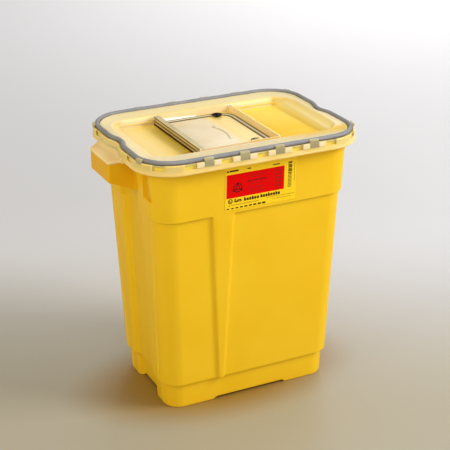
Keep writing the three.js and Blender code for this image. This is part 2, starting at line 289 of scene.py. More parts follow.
def joined(name, parts):
    """Joins several objects into one."""
    merged = bmesh.new()
    for part in parts:
        merged.from_mesh(part.data)
    mesh = bpy.data.meshes.new(name)
    merged.to_mesh(mesh)
    merged.free()
    for part in parts:
        bpy.data.objects.remove(part, do_unlink=True)
    return linked(name, mesh)


def combine(obj, tools, operation):
    for tool in tools:
        modify(obj, "BOOLEAN", operation=operation, solver="EXACT", object=tool)
        bpy.data.objects.remove(tool, do_unlink=True)


def lathed(name, profile, x, y, sides=40, tip=0.02):
    """A turned piece, from its (radius, height) points; no radius is less than the tip."""
    return skin(name, [row(circle(x, y, max(r, tip), sides), z) for r, z in profile])


def drum(x, y, r, z0, z1):
    return lathed("drum", [(r, z0), (r, z1)], x, y, 32)


def rounded_slab(name, x0, x1, y0, y1, z0, z1, r, steps=5):
    """An upright block with rounded vertical edges."""
    ring = rounded_rectangle(x0, x1, y0, y1, r, steps)
    return skin(name, [row(ring, z0), row(ring, z1)])


def half_turned(obj, name):
    """A copy of a piece, turned half round the vertical axis."""
    copy = obj.copy()
    copy.data = obj.data.copy()
    copy.name = name
    for vertex in copy.data.vertices:
        vertex.co.x *= -1
        vertex.co.y *= -1
    bpy.context.scene.collection.objects.link(copy)
    return copy


# --- Materials ---

class Material:
    """A principled material with a short way to add nodes."""

    def __init__(self, name, color, roughness, **sockets):
        self.data = bpy.data.materials.new(name)
        self.data.use_nodes = True
        self.tree = self.data.node_tree
        self.shader = self.tree.nodes["Principled BSDF"]
        self.shader.inputs["Base Color"].default_value = (*color, 1)
        self.set(Roughness=roughness, **sockets)

    def set(self, **sockets):
        for socket, value in sockets.items():
            self.shader.inputs[socket.replace("_", " ")].default_value = value

    def node(self, kind, links=None, **settings):
        """Adds a node; settings are values of its sockets or its own properties."""
        node = self.tree.nodes.new("ShaderNode" + kind)
        for key, value in settings.items():
            if key in node.inputs:
                node.inputs[key].default_value = value
            else:
                setattr(node, key, value)
        for socket, source in (links or {}).items():
            self.tree.links.new(source, node.inputs[socket])
        return node

    def place(self):
        return self.node("TexCoord").outputs["Object"]

    def axes(self):
        return self.node("SeparateXYZ", {"Vector": self.place()}).outputs

    def noise(self, scale, detail):
        settings = {"Scale": scale, "Detail": detail, "Roughness": 0.55}
        return self.node("TexNoise", {"Vector": self.place()}, **settings).outputs["Fac"]

    def ramp(self, factor, low, high, a=0.0, b=1.0, kind="LINEAR"):
        """Turns a factor that runs from low to high into one that runs from a to b."""
        node = self.node("MapRange", {"Value": factor}, interpolation_type=kind)
        for key, value in (("From Min", low), ("From Max", high), ("To Min", a), ("To Max", b)):
            node.inputs[key].default_value = value
        return node.outputs["Result"]

    def cloud(self, scale, detail, low=0.3, high=0.7, a=0.0, b=1.0):
        return self.ramp(self.noise(scale, detail), low, high, a, b)

    def calc(self, operation, first, second):
        node = self.node("Math", {0: first, 1: second}, operation=operation, use_clamp=True)
        return node.outputs[0]

    def vector(self, operation, source, *constants):
        node = self.node("VectorMath", {0: source}, operation=operation)
        for i, value in enumerate(constants):
            node.inputs[i + 1].default_value = value
        return node.outputs

    def mixed(self, factor, first, second):
        node = self.node("Mix", data_type="RGBA")
        self.tree.links.new(factor, node.inputs["Factor"])
        for socket, value in ((node.inputs[6], first), (node.inputs[7], second)):
            if isinstance(value, tuple):
                socket.default_value = (*value, 1)
            else:
                self.tree.links.new(value, socket)
        return node.outputs[2]

    def link(self, source, socket):
        self.tree.links.new(source, self.shader.inputs[socket])

    def glow(self, weight, radius, scale):
        """Lets light spread inside the plastic, and through a thin wall of it."""
        self.set(Subsurface_Weight=weight, Subsurface_Radius=radius, Subsurface_Scale=scale)

    def tint(self, factor, first, second):
        """Gives the piece two colours, mixed by the factor."""
        self.link(self.mixed(factor, srgb(*first), srgb(*second)), "Base Color")

    def roughen(self, scale, detail, low, high):
        self.link(self.cloud(scale, detail, a=low, b=high), "Roughness")

    def bump(self, scale, strength, distance, detail=2.0):
        height = {"Height": self.noise(scale, detail)}
        node = self.node("Bump", height, Strength=strength, Distance=distance)
        self.link(node.outputs["Normal"], "Normal")


def srgb(*values):
    out = []
    for v in values:
        c = v / 255
        out.append(c / 12.92 if c <= 0.04045 else ((c + 0.055) / 1.055) ** 2.4)
    return tuple(out)


def yellow_plastic(name, color, cloudy):
    mat = Material(name, srgb(*color), 0.42, Specular_IOR_Level=0.1)
    mat.tint(mat.cloud(9.0, 2.0, 0.35, 0.65), color, cloudy)
    mat.roughen(60.0, 4.0, 0.38, 0.47)
    mat.bump(900.0, 0.12, 0.0004)
    mat.glow(0.3, (1.0, 0.55, 0.08), 0.004)
    return mat.data


def milky(name, color, cloudy, glow=1.0):
    """Translucent natural plastic: its colour, that of its clouds and how far it glows."""
    mat = Material(name, srgb(*color), 0.36, Specular_IOR_Level=0.25)
    mat.tint(mat.cloud(22.0, 3.0, 0.35, 0.65), color, cloudy)
    mat.roughen(90.0, 3.0, 0.3, 0.42)
    mat.bump(700.0, 0.1, 0.0003)
    mat.glow(glow, (1.0, 0.9, 0.6), 0.005)
    return mat


def milky_plastic(*values):
    return milky(*values).data


def deck_plastic():
    """The same plastic over the yellow bin. The bin shows through it, so it is deeper in
    colour low down and to the right, and paler on the ledge and behind the deck. A lighter
    band at the height of the end shelves and paler steps at the right end are painted
    highlight, and the orange beside the door's left wall is the door's painted shadow."""
    pale = (212, 196, 148)
    mat = milky("milky_deck", pale, pale)
    mat.set(Specular_IOR_Level=0.08)
    x, y, z = mat.axes()
    height = mat.node("ValToRGB", {"Fac": mat.ramp(z, 0.449, 0.466)})
    # Painted highlight: the peak near 0.55 lightens the shelves of the stepped ends, whose slopes lie
    # in shade
    stops = ((0.0, 0.0), (0.12, 0.0), (0.42, 0.16), (0.55, 0.6), (0.66, 0.25), (0.9, 0.4),
             (0.98, 1.0))
    for i, (at, value) in enumerate(stops):
        stop = height.color_ramp.elements[i] if i < 2 else height.color_ramp.elements.new(at)
        stop.position = at
        stop.color = (value, value, value, 1)
    # Painted shadow: pale at the far left, and orange from beside the door's left wall inwards, for
    # the door's shadow on the deck
    left = mat.mixed(mat.ramp(x, -0.135, -0.09), srgb(246, 206, 132), srgb(255, 196, 70))
    rear = mat.mixed(mat.ramp(y, -0.02, 0.09), srgb(252, 188, 6), srgb(254, 208, 88))
    # Painted highlight: paler on the steps of the right end
    rear = mat.mixed(mat.ramp(x, 0.146, 0.156), rear, srgb(253, 216, 122))
    deep = mat.mixed(mat.ramp(x, 0.0, 0.07), left, rear)
    ledge = mat.mixed(mat.ramp(y, -0.12, 0.09), srgb(244, 218, 176), srgb(*pale))
    blend = mat.calc("ADD", height.outputs["Color"], mat.cloud(14.0, 2.0, a=-0.08, b=0.04))
    whole = mat.mixed(blend, deep, ledge)
    below = mat.ramp(z, 0.463, 0.4648, 1.0, 0.0)
    behind = mat.calc("MULTIPLY", mat.ramp(y, 0.1, 0.102, 0.0, 0.8), below)
    whole = mat.mixed(behind, whole, srgb(255, 240, 196))
    edge = mat.calc("MULTIPLY", mat.ramp(y, -0.128, -0.108), mat.ramp(y, -0.1, -0.085, 1.0, 0.0))
    edge = mat.calc("MULTIPLY", edge, mat.ramp(x, 0.04, 0.11, 0.0, 0.9))
    mat.link(mat.mixed(edge, whole, srgb(249, 194, 58)), "Base Color")
    return mat.data


def clear_plastic():
    mat = Material("clear_plastic", (0.97, 0.96, 0.92), 0.06, Transmission_Weight=0.93, IOR=1.49)
    mat.roughen(40.0, 3.0, 0.03, 0.1)
    mat.bump(60.0, 0.05, 0.0004, 1.0)
    return mat.data


def plate_plastic():
    """The door's plate: slightly cloudy, and deeper in colour right of the thumb ridge."""
    mat = Material("cloudy_plastic", srgb(236, 220, 180), 0.2, Transmission_Weight=0.2, IOR=1.45,
                   Specular_IOR_Level=0.3)
    left = mat.mixed(mat.cloud(18.0, 3.0), srgb(244, 226, 188), srgb(236, 214, 168))
    right = mat.ramp(mat.axes()["X"], -0.004, 0.012)
    mat.link(mat.mixed(right, left, srgb(248, 216, 116)), "Base Color")
    mat.roughen(80.0, 3.0, 0.14, 0.26)
    return mat.data


def grey_rubber():
    mat = Material("grey_rubber", srgb(132, 131, 133), 0.5)
    mat.tint(mat.cloud(35.0, 3.0), (122, 121, 124), (140, 139, 141))
    mat.roughen(120.0, 4.0, 0.42, 0.6)
    mat.bump(500.0, 0.15, 0.0003)
    return mat.data


def printed(name, color, roughness=0.35, gloss=0.2):
    mat = Material(name, srgb(*color), roughness, Specular_IOR_Level=gloss)
    mat.tint(mat.cloud(300.0, 3.0), color, [min(255, c + 6) for c in color])
    return mat.data


YELLOW = yellow_plastic("yellow_plastic", (241, 192, 31), (244, 196, 37))
# Painted shade: the handles are a darker copy of the bin's yellow, for the shade under the lid's tabs
HOOD_SHADE_YELLOW = yellow_plastic("yellow_hood_painted_shade", (228, 172, 8), (232, 176, 12))
# Painted shade: a deeper yellow on the corner grooves' floors and sides, where shade falls
GROOVE_SHADE_YELLOW = yellow_plastic("yellow_groove_painted_shade", (228, 168, 6), (232, 172, 8))
# Painted light: the rim flange is a paler yellow, so that it looks bright through the lid's windows
# though it lies in shade
RIM_LIGHT_YELLOW = yellow_plastic("yellow_rim_painted_light", (255, 232, 104), (255, 228, 92))
SKIRT_MILK = milky_plastic("milky_skirt", (238, 206, 136), (236, 198, 116))
DECK_MILK = deck_plastic()
PAD_MILK = milky_plastic("milky_pad", (253, 226, 180), (252, 220, 166), 0.5)
CLIP_MILK = milky_plastic("milky_clip", (182, 172, 138), (172, 158, 116))
TAB_MILK = milky_plastic("milky_tab", (234, 204, 142), (230, 196, 128))
DOOR_PLATE = plate_plastic()
DOOR_BACK = milky_plastic("door_back", (246, 222, 176), (242, 212, 152), 0.4)
# Painted shade: a darker copy of the door's plastic for its left wall and grip, the side turned from
# the key light
DOOR_SIDE_SHADE = milky_plastic("door_side_painted_shade", (198, 182, 134), (180, 162, 108), 0.3)
BEAD = milky_plastic("bead", (226, 212, 180), (216, 200, 164), 0.5)
# Painted highlight: near white for glints on the door's corner posts, back edge and wedge
PAINTED_HIGHLIGHT = milky_plastic("painted_highlight", (255, 253, 244), (254, 248, 232), 0.3)
# Painted shade: dark lines on the clear door, and a deeper one at its foot and round the front stud
SHADE = printed("shaded_edge", (104, 90, 56), 0.4, 0.08)
DEEP_SHADE = printed("deep_shaded_edge", (62, 36, 2), 0.6, 0.03)
CLEAR = clear_plastic()
# Painted shade: the back stud is near black for the dark seen in its clear cap
BACK_STUD_DARK = printed("stud_painted_dark", (8, 6, 3), 0.45, 0.05)
RUBBER = grey_rubber()
LABEL = printed("label_yellow", (251, 205, 26))
INK = printed("label_ink", (26, 20, 6), 0.5, 0.05)
FINE_INK = printed("label_fine_ink", (128, 104, 22))
RED = printed("label_red", (220, 1, 0), 0.5, 0.06)
DARK_RED = printed("label_dark_red", (70, 6, 6))
DEEP_RED = printed("label_deep_red", (172, 10, 6))


def finish(obj, body, slot, nodes, *materials):
    """Gives a piece its materials and its body, and hides the CAD nodes that it replaces. The slot is
    not used.
    """
    if not obj.data.materials:
        for material in materials:
            obj.data.materials.append(material)
    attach(obj, body)
    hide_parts(*nodes)
    return obj


def bin_piece(obj, *materials):
    return finish(obj, "bin", "yellow_plastic", ["collector_body"], *materials)


def lid_piece(obj, *materials):
    return finish(obj, "lid", "milky_plastic", ["lid"], *materials)


def door_piece(obj, *materials):
    return finish(obj, "door", "clear_plastic", ["slide_door"], *materials)


# --- Bin ---

# End wall: the recess edges are dense, and so is the part that the corner groove cuts
BIN_END = [-2, -1.8, -1.56, -1.5, -1.47, -1.44, -1.4, -1.3, -1.1]
BIN_END += [-v for v in (0.98, 0.94, 0.9, 0.86, 0.82, 0.78, 0.74, 0.7, 0.66, 0.62, 0.55, 0.35)]
BIN_END += [0] + [-v for v in reversed(BIN_END)]
BIN_ARC = spread(0, 1, 28)[1:]
RIB_SEGMENTS = (8, 8, 4, 8, 8, 8, 5)
BIN_SIDE = [s + i / n for s, n in enumerate(RIB_SEGMENTS) for i in range(n)][1:]
BIN_TRACK = stations(BIN_END, [0] + BIN_ARC, BIN_SIDE)

RIB_SHARP, RIB_SOFT = (64.0, 81.0), (50.0, 37.5)
RIB_EDGE = 1.5
RIB_SLOPE = 7.0
STEP = 3.0
FOOT_STEP, BAND_STEP = FOOT_TOP - STEP / 2, BAND_BOTTOM - 1.2
# Corner grooves: the X that they lie beyond, their two sides in Y, heights and depth
GROOVE = {"x": 140.0, "inner": 71.0, "top": 86.0, "low": 99.0, "z0": 389.0, "z1": 447.0, "deep": 5.0}


def above(z, level):
    """From 0 to 1 over a step in the wall that starts at a level."""
    return smooth((z - level) / STEP)


def rib_edges(z):
    """X of the rib's sharp edge, its crest and the foot of its slope, at height z."""
    t = (min(max(z, 0.0), BAND_BOTTOM + 20) - FOOT_TOP) / (BAND_BOTTOM - FOOT_TOP)
    sharp, soft = mix(*RIB_SHARP, t), mix(*RIB_SOFT, t)
    return sharp, min(soft + RIB_SLOPE, sharp - RIB_EDGE - 1), soft


def rib_keys(z, limit):
    """X of the grid lines on a long side: they follow the rib and the foot's edges."""
    sharp, crest, soft = rib_edges(z)
    out = FOOT_SPACE[0]
    return [limit, sharp + RIB_EDGE, sharp - RIB_EDGE, crest, soft, 4 - out, -4 - out, -limit]


def rib_height(x, z):
    """How far the rib stands out at x on the +Y side, from 0 to 1."""
    sharp, crest, soft = rib_edges(z)
    return smooth((sharp + RIB_EDGE - x) / (2 * RIB_EDGE)) * smooth((x - soft) / (crest - soft))


def groove_edge(z):
    """How far a corner groove reaches towards the corner at height z."""
    return mix(GROOVE["low"], GROOVE["top"], (z - GROOVE["z0"]) / (GROOVE["z1"] - GROOVE["z0"]))


def wall_offset(station, x, y, z):
    """Offset of the outer wall from its drafted plane: band, rib and corner groove."""
    half, part, _ = station
    if half:
        x, y = -x, -y
    rib = rib_height(x, z) if part == 2 and z > FOOT_TOP - 4 else 0.0
    rib *= above(z, FOOT_STEP)
    out = BAND_PROUD * (1 - (1 - above(z, BAND_STEP)) * (1 - rib))
    g = GROOVE
    if part < 2 and z > g["z0"] - 3:
        across = smooth((y - g["inner"] + 1) / 2.2) * smooth((groove_edge(z) + 1 - y) / 2.6)
        out -= g["deep"] * across * smooth((z - g["z0"] + 1.5) / 4.0)
    return out


def in_groove(x, y, z):
    """Whether a point of the outer wall is on a corner groove's floor or sides."""
    in_depth = GROOVE["inner"] - 2.4 < abs(y) < groove_edge(z) + 1
    return x * y > 0 and abs(x) > GROOVE["x"] and GROOVE["z0"] < z and in_depth


def foot_lift(x, y):
    """The base is raised a little between the four feet."""
    sx, sy = (smooth((space - abs(v)) / FOOT_BLEND + 0.5) for space, v in zip(FOOT_SPACE, (x, y)))
    return FOOT_LIFT * max(sx, sy)


def bin_row(z, grow=0.0, lift=False):
    """One row of the bin wall at height z; lift raises it between the feet."""
    up = above(z, FOOT_STEP)
    walls = {k: WALLS[k] + WALLS["d" + k] * (z - FOOT_TOP) for k in "xy"}
    walls["y"] -= (WALLS["dy"] - BAND_DRAFT) * max(z - BAND_BOTTOM, 0)
    foot = {k: FOOT[k] + FOOT["d" + k] * max(z, 0) for k in "xy"}
    shape = {k: mix(foot[k], walls[k], up) for k in "xy"}
    shape["r"] = mix(FOOT["r"] + FOOT["dr"] * z, WALLS["r"], up)
    mouth = smooth((z - MOUTH_BOTTOM) / MOUTH_STEP)
    recess = mix(END_RECESS + BAND_PROUD * above(z, BAND_STEP), MOUTH_RECESS, mouth)
    keys = rib_keys(z, shape["x"] - shape["r"])
    points = plan(BIN_TRACK, shape, grow, recess=recess, keys=keys,
                  offset=lambda s, x, y: wall_offset(s, x, y, z))
    if lift:
        return row(points, lambda x, y: z + foot_lift(x, y) * (1 - z / LIFT_TOP))
    return row(points, z)


def flange_row(t, grow, z):
    """One row of the rim flange: t goes from the wall, 0, to the lip, 1."""
    shape = {k: mix(MOUTH[k], LIP[k] - WALL, t) for k in "xyr"}
    keys = rib_keys(z, shape["x"] - shape["r"])
    recess = MOUTH_RECESS * (1 - t)
    return row(plan(BIN_TRACK, shape, grow, recess=recess, dip=DIP * t, keys=keys), z)


def bin_base_rows():
    """The underside, from its middle out to the rounded edge of the feet."""
    keys = rib_keys(0, FOOT["x"] - FOOT["r"])
    edge = [plan_point(station, FOOT["x"], FOOT["y"], FOOT["r"], END_RECESS, keys=keys)
            for station in BIN_TRACK]
    return [row([(x * i / 25, y * i / 25) for x, y in edge], foot_lift) for i in range(1, 25)]


def make_bin():
    rows = bin_base_rows()
    rows += [bin_row(z, inset, lift=True) for inset, z in fillet(-1.8, 1.8, 90, 1.8, 5, -90)]
    rows += [bin_row(z, lift=z < LIFT_TOP) for z in (8, 14, 23.9, 38, 43)]
    outer = spread(44.2, 48.2, 8) + spread(52, 352, 12) + spread(355.4, 359.6, 9) + [364, 374, 384]
    outer += spread(386.6, 393.4, 8) + spread(400, 450, 10)
    rows += [bin_row(z) for z in outer]
    under = FLANGE_TOP - WALL
    rows += [flange_row(0, 3 - a, z) for a, z in fillet(0, under - 3, 90, 3, 3)]
    rows += [flange_row(t, 0, under) for t in (0.4, 0.8)]
    rim = len(rows)
    lip = [(0, under), (0, LIP_BOTTOM + 1)] + fillet(1.5, LIP_BOTTOM + 1.5, 180, 1.5, 6, 180)
    rows += [flange_row(1, a, z) for a, z in lip + fillet(1.5, FLANGE_TOP - 1.5, 90, 1.5, 4)]
    inside = len(rows)
    rows += [flange_row(t, 0, FLANGE_TOP) for t in (0.7, 0.3)]
    rows += [flange_row(0, a, z) for a, z in fillet(-1.5, FLANGE_TOP - 1.5, 90, 1.5, 4, 90)]
    inner = spread(450, 396, 9) + spread(392, 388, 4) + [380, 366] + spread(362.6, 358.4, 7)
    inner += spread(354, 56, 10) + spread(51.2, 47.2, 7) + [42, 24]
    rows += [bin_row(z, -WALL) for z in inner]
    rows += [bin_row(z, a - WALL) for a, z in fillet(-6, FLOOR_TOP + 6, -90, 6, 5)]

    def paint(i, j):
        if i >= rim:
            # Rows of the rim flange's lip get the paler yellow, painted light
            return 1 if rim < i < inside else 0
        # Faces on a corner groove get the deeper yellow, painted shade
        return 2 if in_groove(*rows[i][j]) and in_groove(*rows[i][(j + 1) % len(BIN_TRACK)]) else 0

    bin_piece(skin("bin_shell", rows, paint=paint), YELLOW, RIM_LIGHT_YELLOW, GROOVE_SHADE_YELLOW)


HOOD_REACH, HOOD_WALL = 224.6, 175.7


def make_handles():
    """Handles: hoods with a rounded plan, open below, drawn out of the end walls."""
    reach, half, top, round_top = HOOD_REACH, 41.5, 443.0, 2.0
    corner, flare, wall_x, meet = 4.0, 4.5, 163.0, 177.6
    path = [(-wall_x, -half - flare)]
    path += [polar(-meet - flare, -half - flare, flare, 18 * i) for i in range(6)]
    path += [(-mix(meet + flare, reach - corner, t), -half) for t in (0.3, 0.7, 1.0)]
    path += [polar(corner - reach, corner - half, corner, 270 - 15 * i) for i in range(1, 7)]
    path += [(-reach, y) for y in (-28, -14, 0)]
    path += [(x, -y) for x, y in reversed(path[:-1])]
    count = len(path)
    normal = []
    for i in range(count):
        ax, ay = path[max(i - 1, 0)]
        bx, by = path[min(i + 1, count - 1)]
        size = math.hypot(bx - ax, by - ay)
        normal.append(((by - ay) / size, (ax - bx) / size))
    shoulder = top - round_top
    rows = [[(x, y, mix(hood_bottom(x), shoulder, t)) for x, y in path] for t in (0.0, 0.35, 0.7)]
    for inset, z in fillet(0, shoulder, 90, round_top, 4):
        out = round_top - inset
        rows.append([(x + out * nx, y + out * ny, z) for (x, y), (nx, ny) in zip(path, normal)])
    faces = []
    for i in range(len(rows) - 1):
        for a in range(i * count, i * count + count - 1):
            faces.append((a, a + count, a + count + 1, a + 1))
    faces.append(tuple(reversed(range((len(rows) - 1) * count, len(rows) * count))))
    hood = new_object("bin_handle_left", [point for points in rows for point in points], faces)
    modify(hood, "SOLIDIFY", thickness=WALL * MM, offset=-1, use_even_offset=True)
    # The hoods take the darker yellow, painted shade
    bin_piece(bevelled(hood, 0.7, angle=50), HOOD_SHADE_YELLOW)
    bin_piece(half_turned(hood, "bin_handle_right"), HOOD_SHADE_YELLOW)


def hood_bottom(x):
    """Lower edge of the hood: it slopes down from the hood's face to the wall."""
    return mix(393.0, 413.0, clamp((abs(x) - HOOD_WALL) / (HOOD_REACH - HOOD_WALL)))


# --- Lid ---

def lid_side_marks():
    """Fractions along a long side where the windows begin and end, with some between."""
    marks = []
    for i in range(-2, 3):
        marks += [i * WINDOW_PITCH + d for d in (-WINDOW_HALF, WINDOW_HALF, WINDOW_PITCH / 2)]
    marks = sorted(m for m in marks if abs(m) < STRAIGHT - 1)
    return [(STRAIGHT - m) / (2 * STRAIGHT) for m in reversed(marks)]


LID_END_WINDOW = (1.37, 1.93)
LID_END = [-1.999, -1.93, -1.37, -1.15]
LID_END += [-v for v in (0.9, 0.75, 0.66, 0.58, 0.5, 0.42, 0.34, 0.26, 0.18, 0.09)]
LID_END += [0] + [-v for v in reversed(LID_END)]
CORNER_WINDOW = 0.556
CORNER_HALF = math.degrees(WINDOW_HALF / SKIRT["r"]) / 90
SIDE_WINDOW = 2 * WINDOW_PITCH + WINDOW_HALF - STRAIGHT
SIDE_EDGE = 1 - math.degrees(SIDE_WINDOW / SKIRT["r"]) / 90
CORNER_EDGES = [CORNER_WINDOW - CORNER_HALF, CORNER_WINDOW + CORNER_HALF, SIDE_EDGE]
LID_ARC = [v for v in spread(0, 1, 20) if v == 1 or min(abs(v - e) for e in CORNER_EDGES) > 0.02]
LID_ARC = sorted(LID_ARC + CORNER_EDGES)
LID_TRACK = stations(LID_END, LID_ARC, lid_side_marks())

# Half length, half width, corner radius and height of each outline from the ledge, down
# over the stepped ends, to the deck
DECK_STEPS = [(176.2, 105.2, 42.0, 465.5), (174.6, 103.9, 40.5, 465.1), (173.0, 103.1, 39.0, 464.0),
              (167.0, 102.2, 30.0, 460.6), (164.6, 101.9, 26.0, 459.6), (160.2, 101.8, 20.0, 458.3),
              (158.0, 101.8, 18.0, 457.4), (151.6, 101.8, 8.0, 450.6), (150.0, 101.4, 6.5, 449.4),
              (148.4, 100.6, 5.5, DECK_TOP)]


def track_place(station):
    """Signed distance in mm from the nearest window's middle, or None off the windows."""
    _, part, value = station
    if part == 2:
        x = mix(STRAIGHT, -STRAIGHT, value)
        near = round(x / WINDOW_PITCH)
        return x - near * WINDOW_PITCH if abs(near) <= 2 else None
    if part in (1, 3):
        along = value if part == 1 else 1 - value
        if along >= SIDE_EDGE - 0.001:
            beyond = math.radians((1 - along) * 90) * SKIRT["r"] + STRAIGHT
            return (beyond - 2 * WINDOW_PITCH) * (1 if part == 1 else -1)
        return math.radians((along - CORNER_WINDOW) * 90) * SKIRT["r"]
    low, high = LID_END_WINDOW
    if low - 0.01 <= abs(value) <= high + 0.01:
        return (abs(value) - (low + high) / 2) / (high - low) * 2 * WINDOW_HALF
    return None


def in_window(j):
    a = track_place(LID_TRACK[j])
    b = track_place(LID_TRACK[(j + 1) % len(LID_TRACK)])
    if a is None or b is None:
        return False
    edge = WINDOW_HALF + 0.05
    return abs(a) <= edge and abs(b) <= edge and abs(a - b) < 2.2 * WINDOW_HALF


def lid_rows(shape, section, dip=DIP, cx=0.0):
    """Rows along an outline, from a section's (outward offset, height) points."""
    return [row(plan(LID_TRACK, shape, grow, cx=cx, dip=dip), z) for grow, z in section]


def deck_rows(grow, drop):
    rows = []
    for x, y, r, z in DECK_STEPS:
        rows += lid_rows({"x": x, "y": y, "r": r}, [(grow, z - drop)], dip=0)
    return rows


def make_lid():
    """The whole lid as one skin: out over the rim, down to the deck, through the deposit
    opening and back underneath. Windows are cut in its skirt."""
    groove = CORD + 0.3
    bottom = CORD_Z - groove
    inner = -SKIRT_WALL
    rows = lid_rows(SKIRT, fillet(-0.8, SKIRT_BOTTOM + 0.8, 90, 0.8, 3, -90))
    rows += lid_rows(SKIRT, [(0, 448.4), (-0.3, 449.2), (-1.0, 449.7), (-1.0, WINDOW_SILL - 0.6)])
    low = len(rows)
    rows += lid_rows(SKIRT, [(-1.2, WINDOW_SILL)] + fillet(-2.2, RIM_LIP - 1.2, 90, 1.2, 3))
    rows += lid_rows(RIM_CORD, [(groove + 0.5, RIM_LIP), (groove + 0.1, RIM_LIP - 0.4)])
    high = len(rows)
    rows += lid_rows(RIM_CORD, [
        (groove, bottom + 0.5), (groove - 0.5, bottom), (0.6 - groove, bottom),
        (-groove, bottom + 0.6), (-groove - 0.2, RIM_TOP - 0.7), (-groove - 0.9, RIM_TOP),
        (-groove - 3.0, RIM_TOP), (-groove - 3.8, RIM_TOP - 0.5)])
    rows += deck_rows(0, 0)
    edge = fillet(0, DECK_TOP - LID_WALL / 2, 180, -LID_WALL / 2, 6, -90)
    rows += lid_rows(OPENING, edge, 0, OPENING_X)
    rows += reversed(deck_rows(LID_WALL - 0.7, LID_WALL))
    high_under = (-groove - 2.0, RIM_TOP - LID_WALL - 0.6)
    rows += lid_rows(RIM_CORD, [high_under, (-groove - 1.4, bottom - 0.9)])
    rows += lid_rows(SKIRT, [(inner - 0.6, bottom - 0.9)])
    inner_high, inner_low = len(rows), len(rows) + 1
    rows += lid_rows(SKIRT, [(inner, bottom - 1.5), (inner, WINDOW_SILL), (inner, SKIRT_BOTTOM + 0.5),
                             (inner + 0.4, SKIRT_BOTTOM)])
    count = len(LID_TRACK)

    def skip(i, j):
        return in_window(j) and (low <= i < high or i == inner_high)

    def paint(i, j):
        return 0 if i < high else 1

    bridges = []
    around = list(range(low, high + 1)) + [inner_high, inner_low]
    for j in range(count):
        k = (j + 1) % count
        if in_window(j):
            edges = [[(low, j), (low, k), (inner_low, k), (inner_low, j)],
                     [(high, k), (high, j), (inner_high, j), (inner_high, k)]]
            if not in_window((j - 1) % count):
                edges.append([(i, j) for i in reversed(around)])
            if not in_window(k):
                edges.append([(i, k) for i in around])
            bridges += [tuple(i * count + c for i, c in face) for face in edges]
    lid = skin("lid_shell", rows, closed=True, skip=skip, paint=paint, bridges=bridges)
    holes = [drum(x, y, STUD_HOLE, DECK_TOP - 5, DECK_TOP + 1)
             for x in (STUD_X, STUD_X - DOOR_TRAVEL) for y in (-STUD_Y, STUD_Y)]
    combine(lid, [joined("holes", holes)], "DIFFERENCE")
    lid_piece(lid, SKIRT_MILK, DECK_MILK)


def make_cord():
    """The rim gasket: one round cord, very slightly flattened where it sits."""
    section = [(u, CORD_Z + (0.94 * v if v < -0.9 * CORD else v)) for u, v in circle(0, 0, CORD, 24)]
    cord = skin("rim_cord", lid_rows(RIM_CORD, section), closed=True)
    finish(cord, "lid", "grey_rubber", ["lid_gasket"], RUBBER)


HOOK = [(-0.6, 461.6), (-0.4, 466.6), (-1.0, 468.4), (-2.2, 469.2), (-5.6, 469.4), (-5.3, 468.5),
        (-4.55, 467.2), (-4.45, 463.9), (-1.6, 463.4), (-1.6, 461.6)]
STRAP = [(-1.6, 455.0), (-0.6, 455.0)] + HOOK[:-1]
PAD_GAP = 16.7
PAD = [(-1.8, 455.0), (-0.6, 454.8), (-0.06, 455.6), (-0.06, 462.6), (-0.6, 463.5), (-1.8, 463.6)]


def on_skirt(name, section, half, foot, turn, soft):
    """A section drawn along the skirt: foot is on the skirt line, turn its outward angle."""
    rows = []
    for t in (-half, half):
        x, y = polar(*foot, t, turn + 90)
        rows.append([(*polar(x, y, r, turn), z) for r, z in section])
    return bevelled(skin(name, rows), soft)


def make_clips():
    """Clips over the cord and the raised pads beside them."""
    clips, pads = [], []
    for side in (-1, 1):
        turn = 90 * side
        for i in range(-2, 3):
            x = i * WINDOW_PITCH
            for p in (x - PAD_GAP, x + PAD_GAP):
                if abs(p) < STRAIGHT - 6:
                    pads.append(on_skirt("pad", PAD, 6.3, (p, side * SKIRT["y"]), turn, 0.5))
            if i < 2:
                foot = (x + WINDOW_PITCH / 2, side * SKIRT["y"])
                clips.append(on_skirt("clip", STRAP, 7.8, foot, turn, 0.4))
    for sx, sy, angle in ((-1, -1, -161.5), (-1, 1, 166.0), (1, -1, -14.0), (1, 1, 34.0)):
        foot = polar(sx * STRAIGHT, sy * (SKIRT["y"] - SKIRT["r"]), SKIRT["r"], angle)
        clips.append(on_skirt("clip", HOOK, 6.0, foot, angle, 0.4))
    lid_piece(joined("lid_clips", clips), CLIP_MILK)
    lid_piece(joined("lid_pads", pads), PAD_MILK)


